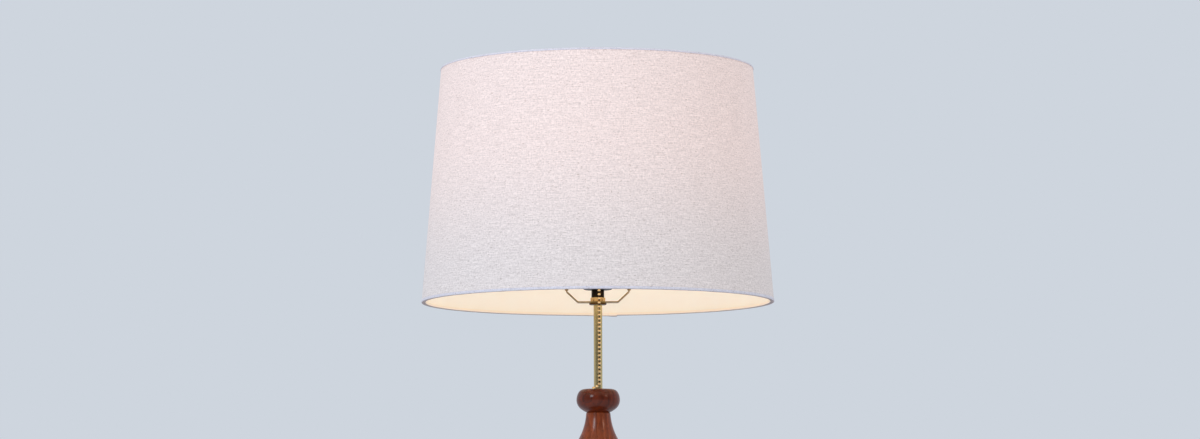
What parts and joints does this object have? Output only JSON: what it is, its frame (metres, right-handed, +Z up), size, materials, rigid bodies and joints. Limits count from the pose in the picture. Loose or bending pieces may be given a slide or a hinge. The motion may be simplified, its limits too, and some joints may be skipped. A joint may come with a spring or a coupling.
{
  "type": "table lamp",
  "caption": "Table lamp: turned wood column on a round base, brass stem with harp and pull-chain socket, tapered linen drum shade held by a screw finial.",
  "frame": {"origin": "centre of the felt pad's underside, on the table under the column's axis", "axes": "+Z up along the column; -Y is the front, where the pull chain hangs; +X to the right seen from the front"},
  "size_m": [0.4064, 0.4064, 0.867],
  "materials": {
    "felt": "pressed brown felt",
    "walnut": "turned, stained red-brown and lacquered to a soft gloss",
    "grey_iron": "as cast",
    "zinc_steel": "zinc plated",
    "black_nylon": "moulded",
    "lacquered_brass": "polished and lacquered",
    "aged_brass": "chemically darkened",
    "black_bronze": "dark bronze plated",
    "fibre_sleeve": "vulcanised fibre",
    "phenolic": "moulded phenolic",
    "nickel_contacts": "nickel plated",
    "aluminium_shell": "rolled",
    "frosted_glass": "etched inside",
    "black_glass": "fused",
    "tin_solder": "soldered",
    "styrene_liner": "calendered cream sheet",
    "linen": "plain woven slub linen",
    "coated_wire": "white coated"
  },
  "bodies": {
    "root": {"felt_pad": "felt", "base_disc": "walnut", "iron_weight": "grey_iron", "weight_screws": "zinc_steel", "cord_bushing": "black_nylon", "base_washer": "zinc_steel", "base_nut": "zinc_steel", "threaded_pipe": "zinc_steel", "foot_collar": "walnut", "column": "walnut", "wood_ball": "walnut", "pipe_coupling": "lacquered_brass", "stem_tube": "lacquered_brass", "seat_ring": "aged_brass", "harp_saddle": "lacquered_brass", "saddle_nut": "lacquered_brass", "harp_bow": "lacquered_brass", "harp_stud": "lacquered_brass", "socket_cap": "black_bronze", "cap_screw": "black_bronze", "socket_shell": "black_bronze", "socket_sleeve": "fibre_sleeve", "switch_body": "phenolic", "terminal_screws": "nickel_contacts", "screw_shell": "aluminium_shell", "centre_contact": "nickel_contacts", "chain_guide": "lacquered_brass"},
    "pull_chain": {"bead_chain": "lacquered_brass", "chain_lug": "lacquered_brass"},
    "left_ferrule": {"ferrule_left": "lacquered_brass"},
    "right_ferrule": {"ferrule_right": "lacquered_brass"},
    "shade": {"shade_liner": "styrene_liner", "shade_fabric": "linen", "bottom_trim": "linen", "top_trim": "linen", "bottom_wire_ring": "coated_wire", "spider_fitter": "coated_wire"},
    "finial_thread": {"finial_insert": "lacquered_brass"},
    "finial": {"finial_knob": "lacquered_brass"},
    "bulb_tip": {"bulb_contact": "tin_solder"},
    "bulb": {"bulb_glass": "frosted_glass", "bulb_base": "aluminium_shell", "bulb_insulator": "black_glass"}
  },
  "joints": [
    {"name": "shade_turn", "type": "hinge", "parent": "root", "child": "shade", "pos_m": [0, 0, 0.8334], "axis": [0, 0, 1], "continuous": true},
    {"name": "chain_pull", "type": "slide", "parent": "root", "child": "pull_chain", "axis": [0, -0.766, -0.6428], "range_m": [0, 0.008], "stiffness_N_per_m": 400, "springref_m": -0.002},
    {"name": "left_ferrule_lift", "type": "slide", "parent": "root", "child": "left_ferrule", "axis": [0, 0, 1], "range_m": [0, 0.012]},
    {"name": "right_ferrule_lift", "type": "slide", "parent": "root", "child": "right_ferrule", "axis": [0, 0, 1], "range_m": [0, 0.012]},
    {"name": "finial_lift", "type": "slide", "parent": "root", "child": "finial_thread", "axis": [0, 0, 1], "range_m": [0, 0.0094]},
    {"name": "finial_turn", "type": "hinge", "parent": "finial_thread", "child": "finial", "pos_m": [0, 0, 0.845], "axis": [0, 0, 1], "range_deg": [0, 3620]},
    {"name": "bulb_lift", "type": "slide", "parent": "root", "child": "bulb_tip", "axis": [0, 0, 1], "range_m": [0, 0.01815]},
    {"name": "bulb_turn", "type": "hinge", "parent": "bulb_tip", "child": "bulb", "pos_m": [0, 0, 0.645], "axis": [0, 0, 1], "range_deg": [0, 1810]}
  ],
  "couplings": [
    {"joint": "finial_turn", "follows": "finial_lift", "rad_per_m": 6684.2},
    {"joint": "bulb_turn", "follows": "bulb_lift", "rad_per_m": 1730.9}
  ]
}
